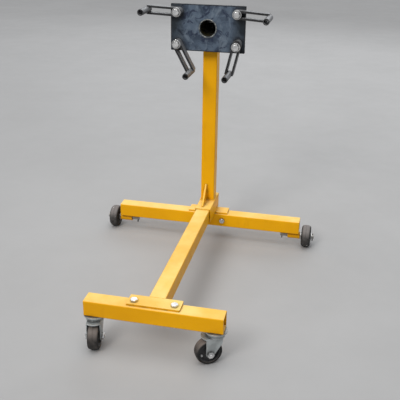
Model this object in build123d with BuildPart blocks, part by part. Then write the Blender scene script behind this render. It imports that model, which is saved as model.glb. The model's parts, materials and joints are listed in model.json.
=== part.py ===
from build123d import *
import os
from math import cos, radians, sin, sqrt

os.makedirs("parts", exist_ok=True)

# Engine stand: a T-shaped rolling base of square tube, a post, and a head plate that turns
# on a pivot tube and carries four adjustable arms.
# Millimetres. Z is up, -Y is the front, where the head plate faces, and X runs to the
# right as seen from the front. The origin is on the floor at the centre of the footprint.

# ---------------------------------------------------------------- driving dimensions
tube = 50                    # side of the square tubes
wall = 3
tube_corner = 4              # outside corner radius of the tubes
plate_steel = 6              # thickness of the angle, the flange plate and the gusset

rear_length = 702            # rear cross tube
bar_length = 405             # front cross bar
bar_distance = 764           # rear tube centre to front bar centre
post_forward = 12            # the post stands this far in front of the rear tube's centre
pivot_z = 810                # height of the head's axis

rear_wheel_radius = 41.5
rear_wheel_width = 34
rear_wheel_x = 379
sleeve_radius = 13.5         # pipe welded under each end of the rear tube
sleeve_length = 46
axle_radius = 8

angle_width = 150            # 50 x 50 x 6 angle bolted to the rear tube
angle_leg = 50
saddle_wall = 3.5
saddle_gap = 0.3             # between the centre tube and each side of the saddle
saddle_front = 118           # reach of the saddle in front of the rear tube's centre
saddle_back = 46
gusset_height = 65
gusset_x = -5                # the gusset stands a little left of the middle
gusset_depth = 66

flange_width = 155
flange_bolt_x = 59
flange_setback = 7.5         # the flange plate's front edge stands behind the bar's front face
base_bolt_xs = (-42, 57)       # one bolt each side of the centre tube

caster_x = 178
caster_wheel_radius = 39
caster_wheel_width = 32
caster_trail = 22            # wheel axle behind the kingpin
tyre_shoulder = 8
rear_tyre_shoulder = 13

head_width = 252
head_height = 153
head_thickness = 10
head_front = 87              # front face of the head plate, in front of the rear tube's centre
pivot_radius = 30
pivot_wall = 4
collar_wall = 5
collar_length = 108
pivot_rear = 74              # rear end of the pivot tube, behind the rear tube's centre
handle_radius = 8
handle_length = 240
handle_offset = -30          # the bar rests slid to this side

arm_bolt_x = 101
arm_bolt_z = 52
strap_depth = 27
strap_half_width = 14.5
slot_half_width = 7.5
slot_reach = 104             # near end of the slot to the arm tube's centre
arm_tube_radius = 10.5
arm_tube_bore = 7.5
arm_tube_front = 99          # the arm tube ends this far in front of the head plate

running_gap = 0.05           # radial clearance of a turning or sliding fit
drill_gap = 0.5              # radial clearance of a bolt in its drilled hole

# ---------------------------------------------------------------- positions worked out
# The wheel of each caster trails in the direction that -Y takes when turned by this angle.
swivel_angles = {"left": 10, "right": -60}
left_turn = radians(swivel_angles["left"])
caster_reach = (
    (caster_trail + caster_wheel_radius - tyre_shoulder) * cos(left_turn)
    + (caster_wheel_width / 2 - tyre_shoulder) * sin(left_turn)
    + tyre_shoulder
)
rear_y = (bar_distance + caster_reach - pivot_rear) / 2
bar_y = rear_y - bar_distance
post_y = rear_y - post_forward
head_y = rear_y - head_front

rear_bottom = rear_wheel_radius + sleeve_radius
rear_z = rear_bottom + tube / 2
angle_top = rear_bottom + tube + plate_steel
centre_z = angle_top + tube / 2
centre_top = angle_top + tube
saddle_top = centre_top + saddle_gap + saddle_wall
bar_z = centre_z - plate_steel
bar_bottom = bar_z - tube / 2
bar_top = bar_z + tube / 2


# ---------------------------------------------------------------- shared shapes
def square_section():
    """Draw the hollow section of the square tube on the current sketch."""
    RectangleRounded(tube, tube, tube_corner)
    RectangleRounded(tube - 2 * wall, tube - 2 * wall, tube_corner - wall, mode=Mode.SUBTRACT)


def hex_blank(across, height):
    """A hexagonal block on the origin whose top corners are turned off."""
    corner = across / sqrt(3)
    with BuildPart() as blank:
        with BuildSketch():
            RegularPolygon(across / 2, 6, major_radius=False)
        extrude(amount=height)
        with BuildSketch(Plane.XZ):
            with BuildLine():
                Polyline(
                    (0, 0),
                    (corner, 0),
                    (corner, height - (corner - across / 2) * 0.6),
                    (across / 2 * 0.97, height),
                    (0, height),
                    close=True,
                )
            make_face()
        revolve(axis=Axis.Z, mode=Mode.INTERSECT)
    return blank.part


def hex_bolt(radius, across, head, length):
    """A bolt with its head standing on the origin plane and its shank below it."""
    blank = hex_blank(across, head)
    with BuildPart() as bolt:
        add(blank)
        with BuildSketch():
            Circle(radius)
        extrude(amount=-length)
        chamfer(bolt.faces().sort_by(Axis.Z)[0].edges(), radius * 0.16)
    return bolt.part


def hex_nut(radius, across, height):
    """A nut standing on the origin plane."""
    blank = hex_blank(across, height)
    with BuildPart() as nut:
        add(blank)
        Hole(radius + running_gap)
    return nut.part


def ring(inner, outer, thickness):
    """A washer lying on the origin plane."""
    with BuildPart() as washer:
        with BuildSketch():
            Circle(outer)
            Circle(inner, mode=Mode.SUBTRACT)
        extrude(amount=thickness)
    return washer.part


m12_radius = 6
m12_across = 19
m12_head = 7.5
m12_nut = 10
m10_radius = 5
m10_across = 17
m10_head = 6.4
m10_nut = 8

# ---------------------------------------------------------------- rear cross tube
rear_axis = Plane(origin=(0, rear_y, rear_z), x_dir=(0, 1, 0), z_dir=(1, 0, 0))
base_bolt_planes = [
    Plane(origin=(x, rear_y - tube / 2, rear_z), x_dir=(1, 0, 0), z_dir=(0, -1, 0))
    for x in base_bolt_xs
]

with BuildPart() as rear_cross_tube:
    with BuildSketch(rear_axis):
        square_section()
    extrude(amount=rear_length / 2, both=True)
    with BuildSketch(*base_bolt_planes):
        Circle(m10_radius + drill_gap)
    extrude(amount=-tube, mode=Mode.SUBTRACT)
rear_cross_tube.part.label = "rear_cross_tube"
export_step(rear_cross_tube.part, "parts/rear_cross_tube.step")

# ---------------------------------------------------------------- base joint
# An equal angle lies on the rear tube: one leg on top, the other down its back.
angle_back = rear_y + tube / 2 + plate_steel
with BuildPart() as base_angle:
    with BuildSketch(Plane(origin=(0, angle_back, angle_top), x_dir=(0, 1, 0), z_dir=(1, 0, 0))):
        with BuildLine():
            Polyline(
                (0, 0),
                (-angle_leg, 0),
                (-angle_leg, -plate_steel),
                (-plate_steel, -plate_steel),
                (-plate_steel, -angle_leg),
                (0, -angle_leg),
                close=True,
            )
        make_face()
    extrude(amount=angle_width / 2, both=True)
    fillet(base_angle.edges().filter_by(Axis.X).sort_by(Axis.Z)[-1], 2)
    with BuildSketch(*base_bolt_planes):
        Circle(m10_radius + drill_gap)
    extrude(amount=-(tube + 2 * plate_steel), mode=Mode.SUBTRACT)
base_angle.part.label = "base_angle"
export_step(base_angle.part, "parts/base_angle.step")

# An inverted U stands over the centre tube and carries the post.
saddle_half = tube / 2 + saddle_gap + saddle_wall
with BuildPart() as saddle_channel:
    with BuildSketch(Plane(origin=(0, rear_y - saddle_front, 0), x_dir=(1, 0, 0), z_dir=(0, -1, 0))):
        with Locations((0, (angle_top + saddle_top) / 2)):
            Rectangle(2 * saddle_half, saddle_top - angle_top)
        with Locations((0, (angle_top + saddle_top - saddle_wall) / 2)):
            Rectangle(
                2 * (saddle_half - saddle_wall),
                saddle_top - saddle_wall - angle_top,
                mode=Mode.SUBTRACT,
            )
    extrude(amount=-(saddle_front + saddle_back))
    fillet(saddle_channel.edges().filter_by(Axis.Y).group_by(Axis.Z)[-1], saddle_wall)
saddle_channel.part.label = "saddle_channel"
export_step(saddle_channel.part, "parts/saddle_channel.step")

centre_front = bar_y + tube / 2 + flange_setback
centre_rear = rear_y + tube / 2 - 5
with BuildPart() as centre_tube:
    with BuildSketch(Plane(origin=(0, centre_front, centre_z), x_dir=(1, 0, 0), z_dir=(0, -1, 0))):
        square_section()
    extrude(amount=-(centre_rear - centre_front))
centre_tube.part.label = "centre_tube"
export_step(centre_tube.part, "parts/centre_tube.step")

# ---------------------------------------------------------------- post, gusset and collar
pivot_axis = Plane(origin=(0, post_y, pivot_z), x_dir=(1, 0, 0), z_dir=(0, -1, 0))
collar_radius = pivot_radius + running_gap + collar_wall
with BuildPart() as post_tube:
    with BuildSketch(Plane.XY.offset(saddle_top)):
        with Locations((0, post_y)):
            square_section()
    extrude(amount=pivot_z - saddle_top)
    with BuildSketch(pivot_axis):
        Circle(collar_radius)
    extrude(amount=tube, both=True, mode=Mode.SUBTRACT)
post_tube.part.label = "post_tube"
export_step(post_tube.part, "parts/post_tube.step")

post_front = post_y - tube / 2
with BuildPart() as post_gusset:
    with BuildSketch(Plane(origin=(gusset_x, post_front, saddle_top), x_dir=(0, -1, 0), z_dir=(-1, 0, 0))):
        with BuildLine():
            Polyline(
                (0, 0),
                (gusset_depth, 0),
                (gusset_depth, 4),
                (4, gusset_height),
                (0, gusset_height),
                close=True,
            )
        make_face()
    extrude(amount=plate_steel / 2, both=True)
post_gusset.part.label = "post_gusset"
export_step(post_gusset.part, "parts/post_gusset.step")

# The index pin drops through a boss on the collar into one of eight holes in the pivot tube.
pin_radius = 6
pin_y = post_y - 26
boss_radius = 12
boss_top = pivot_z + collar_radius + 10
with BuildPart() as collar_sleeve:
    with BuildSketch(pivot_axis):
        Circle(collar_radius)
        Circle(pivot_radius + running_gap, mode=Mode.SUBTRACT)
    extrude(amount=collar_length / 2, both=True)
    with BuildSketch(Plane.XY.offset(pivot_z)):
        with Locations((0, pin_y)):
            Circle(pin_radius + running_gap)
    extrude(amount=collar_radius + 1, mode=Mode.SUBTRACT)
collar_sleeve.part.label = "collar_sleeve"
export_step(collar_sleeve.part, "parts/collar_sleeve.step")

with BuildPart() as index_boss:
    with BuildSketch(Plane.XY.offset(pivot_z + pivot_radius)):
        with Locations((0, pin_y)):
            Circle(boss_radius)
            Circle(pin_radius + running_gap, mode=Mode.SUBTRACT)
    extrude(amount=boss_top - pivot_z - pivot_radius)
    with BuildSketch(pivot_axis):
        Circle(collar_radius)
    extrude(amount=collar_length, both=True, mode=Mode.SUBTRACT)
index_boss.part.label = "index_boss"
export_step(index_boss.part, "parts/index_boss.step")

# ---------------------------------------------------------------- front cross bar
bar_axis = Plane(origin=(0, bar_y, bar_z), x_dir=(0, 1, 0), z_dir=(1, 0, 0))
flange_bolt_planes = [
    Plane(origin=(x, bar_y, centre_top), x_dir=(1, 0, 0), z_dir=(0, 0, 1))
    for x in (-flange_bolt_x, flange_bolt_x)
]
with BuildPart() as front_cross_bar:
    with BuildSketch(bar_axis):
        square_section()
    extrude(amount=bar_length / 2, both=True)
    with BuildSketch(*flange_bolt_planes):
        Circle(m12_radius + drill_gap)
    extrude(amount=-(tube + 2 * plate_steel), mode=Mode.SUBTRACT)
front_cross_bar.part.label = "front_cross_bar"
export_step(front_cross_bar.part, "parts/front_cross_bar.step")

with BuildPart() as flange_plate:
    with BuildSketch(Plane.XY.offset(bar_top)):
        with Locations((0, bar_y + flange_setback)):
            RectangleRounded(flange_width, tube, 3)
    extrude(amount=plate_steel)
    with BuildSketch(*flange_bolt_planes):
        Circle(m12_radius + drill_gap)
    extrude(amount=-plate_steel, mode=Mode.SUBTRACT)
flange_plate.part.label = "flange_plate"
export_step(flange_plate.part, "parts/flange_plate.step")

# ---------------------------------------------------------------- bolts of the frame
nut_stick_out = 4
flange_bolt = hex_bolt(m12_radius, m12_across, m12_head, plate_steel + tube + m12_nut + nut_stick_out)
flange_nut = hex_nut(m12_radius, m12_across, m12_nut)
base_bolt = hex_bolt(m10_radius, m10_across, m10_head, tube + plate_steel + m10_nut + nut_stick_out)
base_nut = hex_nut(m10_radius, m10_across, m10_nut)

with BuildPart() as flange_bolts:
    with Locations(*flange_bolt_planes):
        add(flange_bolt)
flange_bolts.part.label = "flange_bolts"
export_step(flange_bolts.part, "parts/flange_bolts.step")

with BuildPart() as flange_nuts:
    with Locations(*[plane.offset(-plate_steel - tube - m12_nut) for plane in flange_bolt_planes]):
        add(flange_nut)
flange_nuts.part.label = "flange_nuts"
export_step(flange_nuts.part, "parts/flange_nuts.step")

with BuildPart() as base_bolts:
    with Locations(*base_bolt_planes):
        add(base_bolt)
base_bolts.part.label = "base_bolts"
export_step(base_bolts.part, "parts/base_bolts.step")

with BuildPart() as base_nuts:
    with Locations(*[plane.offset(-tube - plate_steel - m10_nut) for plane in base_bolt_planes]):
        add(base_nut)
base_nuts.part.label = "base_nuts"
export_step(base_nuts.part, "parts/base_nuts.step")

# ---------------------------------------------------------------- rear wheels
hub_radius = 23
bush_radius = 11
tyre_gap = 0.02              # parts pressed together in one wheel
sleeve_outer_x = rear_length / 2 + 5
rear_hub_width = rear_wheel_width + 2
washer_thickness = 2.5
split_pin_radius = 1.6
split_pin_x = rear_wheel_x + rear_hub_width / 2 + washer_thickness + 4
axle_end_x = split_pin_x + 5
inner_pin_x = sleeve_outer_x - sleeve_length - 22
axle_start_x = inner_pin_x - 6
split_pin_xs = (-split_pin_x, -inner_pin_x, inner_pin_x, split_pin_x)


def tyre_section(inner, outer, width, shoulder):
    """One side of a tyre's section: X lies along the axle and Y is the radius."""
    with BuildSketch() as section:
        with BuildLine():
            Line((-width / 2, inner), (width / 2, inner))
            Line((width / 2, inner), (width / 2, outer - shoulder))
            RadiusArc((width / 2, outer - shoulder), (width / 2 - shoulder, outer), -shoulder)
            Line((width / 2 - shoulder, outer), (shoulder - width / 2, outer))
            RadiusArc((shoulder - width / 2, outer), (-width / 2, outer - shoulder), -shoulder)
            Line((-width / 2, outer - shoulder), (-width / 2, inner))
        make_face()
    return section.sketch


def hub_section(bore, outer, width, rim_width, web_width):
    """One side of a dished hub's section: a boss, a thinner web and a rim."""
    boss = bore + 4
    rim = outer - 3
    slope = 1.5
    with BuildSketch() as section:
        with BuildLine():
            Polyline(
                (-width / 2, bore),
                (width / 2, bore),
                (width / 2, boss),
                (web_width / 2, boss + slope),
                (web_width / 2, rim - slope),
                (rim_width / 2, rim),
                (rim_width / 2, outer),
                (-rim_width / 2, outer),
                (-rim_width / 2, rim),
                (-web_width / 2, rim - slope),
                (-web_width / 2, boss + slope),
                (-width / 2, boss),
                close=True,
            )
        make_face()
    return section.sketch


rear_tyre_section = tyre_section(
    hub_radius + tyre_gap, rear_wheel_radius, rear_wheel_width, rear_tyre_shoulder
)
rear_hub_section = hub_section(
    bush_radius + tyre_gap, hub_radius, rear_hub_width - 1, rear_wheel_width - 2, 16
)


# Each half of the axle line starts at the middle of the stand and points outwards.
axle_lines = [
    Plane(origin=(0, rear_y, rear_wheel_radius), x_dir=(0, 1, 0), z_dir=(sign, 0, 0)) for sign in (-1, 1)
]
with BuildPart() as axle_sleeves:
    with BuildSketch(*[line.offset(sleeve_outer_x - sleeve_length) for line in axle_lines]):
        Circle(sleeve_radius)
        Circle(axle_radius + running_gap, mode=Mode.SUBTRACT)
    extrude(amount=sleeve_length)
axle_sleeves.part.label = "axle_sleeves"
export_step(axle_sleeves.part, "parts/axle_sleeves.step")

with BuildPart() as rear_axles:
    with BuildSketch(*[line.offset(axle_start_x) for line in axle_lines]):
        Circle(axle_radius)
    extrude(amount=axle_end_x - axle_start_x)
    chamfer(rear_axles.faces().sort_by(Axis.X)[0].edges(), 1)
    chamfer(rear_axles.faces().sort_by(Axis.X)[-1].edges(), 1)
    with BuildSketch(Plane.XY.offset(rear_wheel_radius)):
        with Locations(*[(x, rear_y) for x in split_pin_xs]):
            Circle(split_pin_radius + running_gap)
    extrude(amount=axle_radius, both=True, mode=Mode.SUBTRACT)
rear_axles.part.label = "rear_axles"
export_step(rear_axles.part, "parts/rear_axles.step")

for side, sign, axle_line in (("left", -1, axle_lines[0]), ("right", 1, axle_lines[1])):
    wheel_plane = Plane(
        origin=(sign * rear_wheel_x, rear_y, rear_wheel_radius), x_dir=(1, 0, 0), z_dir=(0, -1, 0)
    )
    wheel_axis = Axis((sign * rear_wheel_x, rear_y, rear_wheel_radius), (1, 0, 0))

    with BuildPart() as rear_tyre:
        with BuildSketch(wheel_plane):
            add(rear_tyre_section)
        revolve(axis=wheel_axis)
    rear_tyre.part.label = f"rear_tyre_{side}"
    export_step(rear_tyre.part, f"parts/rear_tyre_{side}.step")

    with BuildPart() as rear_hub:
        with BuildSketch(wheel_plane):
            add(rear_hub_section)
        revolve(axis=wheel_axis)
    rear_hub.part.label = f"rear_hub_{side}"
    export_step(rear_hub.part, f"parts/rear_hub_{side}.step")

    with BuildPart() as rear_bush:
        with BuildSketch(axle_line.offset(rear_wheel_x - rear_hub_width / 2)):
            Circle(bush_radius)
            Circle(axle_radius + running_gap, mode=Mode.SUBTRACT)
        extrude(amount=rear_hub_width)
    rear_bush.part.label = f"rear_bush_{side}"
    export_step(rear_bush.part, f"parts/rear_bush_{side}.step")

# Two washers on each axle, one each side of the wheel.
rear_washer = ring(axle_radius + running_gap, 15, washer_thickness)
washer_seats = []
for axle_line in axle_lines:
    washer_seats.append(axle_line.offset(rear_wheel_x - rear_hub_width / 2 - washer_thickness - 0.6))
    washer_seats.append(axle_line.offset(rear_wheel_x + rear_hub_width / 2 + 0.6))
with BuildPart() as rear_wheel_washers:
    with Locations(*washer_seats):
        add(rear_washer)
rear_wheel_washers.part.label = "rear_wheel_washers"
export_step(rear_wheel_washers.part, "parts/rear_wheel_washers.step")

# A split pin through both ends of each axle: an eye below the axle and its legs above.
eye_radius = 3.6
eye_drop = axle_radius + eye_radius + split_pin_radius + 0.2
split_pin_top = rear_wheel_radius + axle_radius + 4
with BuildPart() as rear_split_pins:
    for x in split_pin_xs:
        with BuildSketch(Plane.XY.offset(rear_wheel_radius - eye_drop + eye_radius)):
            with Locations((x, rear_y)):
                Circle(split_pin_radius)
        extrude(amount=split_pin_top - rear_wheel_radius + eye_drop - eye_radius)
        with Locations(Plane(origin=(x, rear_y, rear_wheel_radius - eye_drop), z_dir=(1, 0, 0))):
            Torus(eye_radius, split_pin_radius)
rear_split_pins.part.label = "rear_split_pins"
export_step(rear_split_pins.part, "parts/rear_split_pins.step")

# ---------------------------------------------------------------- swivel casters
caster_plate_radius = 33
caster_plate_thickness = 4
race_outer = 27
race_depth = 5
ball_radius = 3
ball_circle = 18
ball_count = 16
crown_radius = 26
crown_bottom = bar_bottom - 19
crown_top = bar_bottom - caster_plate_thickness - 2 * ball_radius - 0.3
kingpin_radius = 6
kingpin_nut_height = 6.5
fork_sheet = 3
fork_inner = caster_wheel_width / 2 + 2
fork_outer = fork_inner + fork_sheet
leg_rear = 12                # the leg reaches this far behind and below the wheel's axle
leg_front = 36
leg_front_drop = 18
caster_axle_radius = 5
caster_hub_radius = 30
crown_nose = -caster_trail - leg_rear        # where the rounded nose of the crown starts
crown_nose_radius = 29


def kingpin_plane(side, sign):
    """The caster's own frame: on the floor under the kingpin, with the wheel towards -Y."""
    turn = radians(swivel_angles[side])
    return Plane(origin=(sign * caster_x, bar_y, 0), x_dir=(cos(turn), sin(turn), 0), z_dir=(0, 0, 1))


kingpin_planes = {"left": kingpin_plane("left", -1), "right": kingpin_plane("right", 1)}
with BuildPart() as caster_kingpins:
    for base in kingpin_planes.values():
        with BuildSketch(base.offset(crown_bottom - 0.3 - kingpin_nut_height)):
            RegularPolygon(m12_across / 2, 6, major_radius=False)
        extrude(amount=kingpin_nut_height)
        with BuildSketch(base.offset(crown_bottom - 0.3)):
            Circle(kingpin_radius)
        extrude(amount=bar_bottom - crown_bottom + 0.3)
caster_kingpins.part.label = "caster_kingpins"
export_step(caster_kingpins.part, "parts/caster_kingpins.step")

caster_bolt = hex_bolt(
    caster_axle_radius, m10_across, m10_head, 2 * (fork_inner + fork_sheet) + m10_nut + 2
)
caster_nut = hex_nut(caster_axle_radius, m10_across, m10_nut)
caster_tyre_section = tyre_section(
    caster_hub_radius + tyre_gap, caster_wheel_radius, caster_wheel_width, tyre_shoulder
)
caster_hub_section = hub_section(
    caster_axle_radius + running_gap,
    caster_hub_radius,
    caster_wheel_width + 3,
    caster_wheel_width - 2,
    18,
)
for side, base in kingpin_planes.items():
    wheel_centre = base.from_local_coords((0, -caster_trail, caster_wheel_radius))
    wheel_plane = Plane(origin=wheel_centre, x_dir=base.x_dir, z_dir=-base.y_dir)
    wheel_axis = Axis(wheel_centre, base.x_dir)
    leg_plane = Plane(origin=wheel_centre, x_dir=-base.y_dir, z_dir=-base.x_dir)

    with BuildPart() as caster_plate:
        with BuildSketch(base.offset(bar_bottom - caster_plate_thickness)):
            Circle(caster_plate_radius)
            Circle(kingpin_radius + running_gap, mode=Mode.SUBTRACT)
        extrude(amount=caster_plate_thickness)
        with BuildSketch(base.offset(bar_bottom - caster_plate_thickness - race_depth)):
            Circle(race_outer + 2)
            Circle(race_outer, mode=Mode.SUBTRACT)
        extrude(amount=race_depth)
    caster_plate.part.label = f"caster_plate_{side}"
    export_step(caster_plate.part, f"parts/caster_plate_{side}.step")

    with BuildPart() as caster_balls:
        with Locations(base.offset(crown_top + 0.15 + ball_radius)):
            with PolarLocations(ball_circle, ball_count):
                Sphere(ball_radius)
    caster_balls.part.label = f"caster_balls_{side}"
    export_step(caster_balls.part, f"parts/caster_balls_{side}.step")

    with BuildPart() as caster_fork:
        with BuildSketch(base.offset(crown_bottom)):
            with BuildLine():
                Polyline(
                    (fork_outer, crown_nose),
                    (fork_outer, leg_front - caster_trail),
                    (-fork_outer, leg_front - caster_trail),
                    (-fork_outer, crown_nose),
                )
                RadiusArc((-fork_outer, crown_nose), (fork_outer, crown_nose), -crown_nose_radius)
            make_face()
            Circle(crown_radius)
        extrude(amount=fork_sheet)
        with BuildSketch(base.offset(crown_bottom)):
            Circle(crown_radius)
        extrude(amount=crown_top - crown_bottom, taper=8)
        for leg_side in (-1, 1):
            with BuildSketch(leg_plane.offset(leg_side * (fork_inner + fork_sheet / 2))):
                leg_top = crown_bottom + fork_sheet - caster_wheel_radius
                with BuildLine():
                    Polyline(
                        (leg_rear, 0),
                        (leg_rear, leg_top),
                        (-leg_front, leg_top),
                        (-leg_front, leg_top - leg_front_drop),
                        (-leg_rear * cos(radians(50)), -leg_rear * sin(radians(50))),
                    )
                    RadiusArc(
                        (-leg_rear * cos(radians(50)), -leg_rear * sin(radians(50))),
                        (leg_rear, 0),
                        -leg_rear,
                    )
                make_face()
                Circle(caster_axle_radius + running_gap, mode=Mode.SUBTRACT)
            extrude(amount=fork_sheet / 2, both=True)
        with BuildSketch(base.offset(crown_bottom)):
            Circle(kingpin_radius + running_gap)
        extrude(amount=crown_top - crown_bottom, mode=Mode.SUBTRACT)
        long_edges = caster_fork.edges().filter_by(Axis(wheel_centre, base.y_dir))
        fillet(long_edges.group_by(Axis.Z)[-1], fork_sheet - 0.5)
    caster_fork.part.label = f"caster_fork_{side}"
    export_step(caster_fork.part, f"parts/caster_fork_{side}.step")

    nut_seat = Plane(origin=wheel_centre, x_dir=base.y_dir, z_dir=base.x_dir).offset(fork_outer)
    head_seat = Plane(origin=wheel_centre, x_dir=base.y_dir, z_dir=-base.x_dir).offset(fork_outer)
    with BuildPart() as caster_axle:
        with Locations(head_seat):
            add(caster_bolt)
        with Locations(nut_seat):
            add(caster_nut)
    caster_axle.part.label = f"caster_axle_{side}"
    export_step(caster_axle.part, f"parts/caster_axle_{side}.step")

    with BuildPart() as caster_tyre:
        with BuildSketch(wheel_plane):
            add(caster_tyre_section)
        revolve(axis=wheel_axis)
    caster_tyre.part.label = f"caster_tyre_{side}"
    export_step(caster_tyre.part, f"parts/caster_tyre_{side}.step")

    with BuildPart() as caster_hub:
        with BuildSketch(wheel_plane):
            add(caster_hub_section)
        revolve(axis=wheel_axis)
    caster_hub.part.label = f"caster_hub_{side}"
    export_step(caster_hub.part, f"parts/caster_hub_{side}.step")

# ---------------------------------------------------------------- head plate and pivot
head_plane = Plane(origin=(0, head_y, pivot_z), x_dir=(1, 0, 0), z_dir=(0, -1, 0))
arm_bolt_points = {
    "upper_left": (-arm_bolt_x, arm_bolt_z),
    "upper_right": (arm_bolt_x, arm_bolt_z),
    "lower_left": (-arm_bolt_x, -arm_bolt_z),
    "lower_right": (arm_bolt_x, -arm_bolt_z),
}
with BuildPart() as head_plate:
    with BuildSketch(head_plane):
        RectangleRounded(head_width, head_height, 2)
        Circle(pivot_radius + running_gap, mode=Mode.SUBTRACT)
        with Locations(*arm_bolt_points.values()):
            Circle(m12_radius + drill_gap, mode=Mode.SUBTRACT)
    extrude(amount=-head_thickness)
head_plate.part.label = "head_plate"
export_step(head_plate.part, "parts/head_plate.step")

pivot_front = head_front - 3
handle_y = rear_y + pivot_rear - 14
index_count = 8
pivot_plane = head_plane.offset(pivot_front - head_front)
with BuildPart() as pivot_tube:
    with BuildSketch(pivot_plane):
        Circle(pivot_radius)
        Circle(pivot_radius - pivot_wall, mode=Mode.SUBTRACT)
    extrude(amount=-(pivot_front + pivot_rear))
    for index in range(index_count):
        turn = radians(360 * index / index_count)
        outward = (sin(turn), 0, cos(turn))
        with BuildSketch(Plane(origin=(0, pin_y, pivot_z), x_dir=(0, 1, 0), z_dir=outward)):
            Circle(pin_radius + 0.4)
        extrude(amount=pivot_radius + 1, mode=Mode.SUBTRACT)
    with BuildSketch(Plane(origin=(0, handle_y, pivot_z), x_dir=(0, 1, 0), z_dir=(1, 0, 0))):
        Circle(handle_radius + running_gap)
    extrude(amount=pivot_radius + 1, both=True, mode=Mode.SUBTRACT)
pivot_tube.part.label = "pivot_tube"
export_step(pivot_tube.part, "parts/pivot_tube.step")

# A collar ring behind the sleeve stops the pivot tube from sliding out.
retainer = ring(pivot_radius + running_gap, pivot_radius + 9, 6)
with BuildPart() as retaining_ring:
    with Locations(Plane(origin=(0, post_y + collar_length / 2 + 0.6, pivot_z), z_dir=(0, 1, 0))):
        add(retainer)
retaining_ring.part.label = "retaining_ring"
export_step(retaining_ring.part, "parts/retaining_ring.step")

# The turning handle slides through the rear of the pivot tube.
knob_radius = 11
knob_length = 16
with BuildPart() as handle_bar:
    with BuildSketch(Plane(origin=(handle_offset, handle_y, pivot_z), x_dir=(0, 1, 0), z_dir=(1, 0, 0))):
        Circle(handle_radius)
    extrude(amount=handle_length / 2 - 3, both=True)
handle_bar.part.label = "handle_bar"
export_step(handle_bar.part, "parts/handle_bar.step")

with BuildPart() as handle_knobs:
    for sign in (-1, 1):
        knob_plane = Plane(
            origin=(handle_offset + sign * handle_length / 2, handle_y, pivot_z),
            x_dir=(0, 1, 0),
            z_dir=(sign, 0, 0),
        )
        with BuildSketch(knob_plane):
            Circle(knob_radius)
        extrude(amount=-knob_length)
        with BuildSketch(knob_plane.offset(-3)):
            Circle(handle_radius + running_gap)
        extrude(amount=-knob_length, mode=Mode.SUBTRACT)
    fillet(handle_knobs.edges().filter_by(GeomType.CIRCLE).filter_by(lambda e: e.radius > 10), 2.5)
handle_knobs.part.label = "handle_knobs"
export_step(handle_knobs.part, "parts/handle_knobs.step")

# The index pin rests drawn up, clear of the pivot tube; pushed down it locks the head.
pin_clearance = 0.8
pin_top = boss_top + 12
with BuildPart() as index_pin:
    with BuildSketch(Plane.XY.offset(pivot_z + pivot_radius + pin_clearance)):
        with Locations((0, pin_y)):
            Circle(pin_radius)
    extrude(amount=pin_top - pivot_z - pivot_radius - pin_clearance)
index_pin.part.label = "index_pin"
export_step(index_pin.part, "parts/index_pin.step")

index_travel = 9
with BuildPart() as index_knob:
    with BuildSketch(Plane.XY.offset(boss_top + index_travel + 0.5)):
        with Locations((0, pin_y)):
            Circle(11)
    extrude(amount=9)
    fillet(index_knob.edges(), 2)
    with BuildSketch(Plane.XY.offset(boss_top)):
        with Locations((0, pin_y)):
            Circle(pin_radius + running_gap)
    extrude(amount=pin_top - boss_top, mode=Mode.SUBTRACT)
index_knob.part.label = "index_knob"
export_step(index_knob.part, "parts/index_knob.step")

# ---------------------------------------------------------------- mounting arms
# Each arm's rest setting: its direction on the plate, and its bolt-to-tube distance.
arm_settings = {
    "upper_left": (177.7, 101),
    "upper_right": (-3.9, 104),
    "lower_left": (-61.7, 103),
    "lower_right": (-103.5, 96),
}
arm_washer_thickness = 3
arm_washer = ring(m12_radius + running_gap, 15, arm_washer_thickness)
arm_bolt = hex_bolt(
    m12_radius,
    m12_across,
    m12_head,
    arm_washer_thickness + strap_depth + head_thickness + 2.5 + m12_nut + 3,
)
arm_nut = hex_nut(m12_radius, m12_across, m12_nut)
rear_washer_thickness = 2.5
arm_rear_washer = ring(m12_radius + running_gap, 12, rear_washer_thickness)

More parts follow.
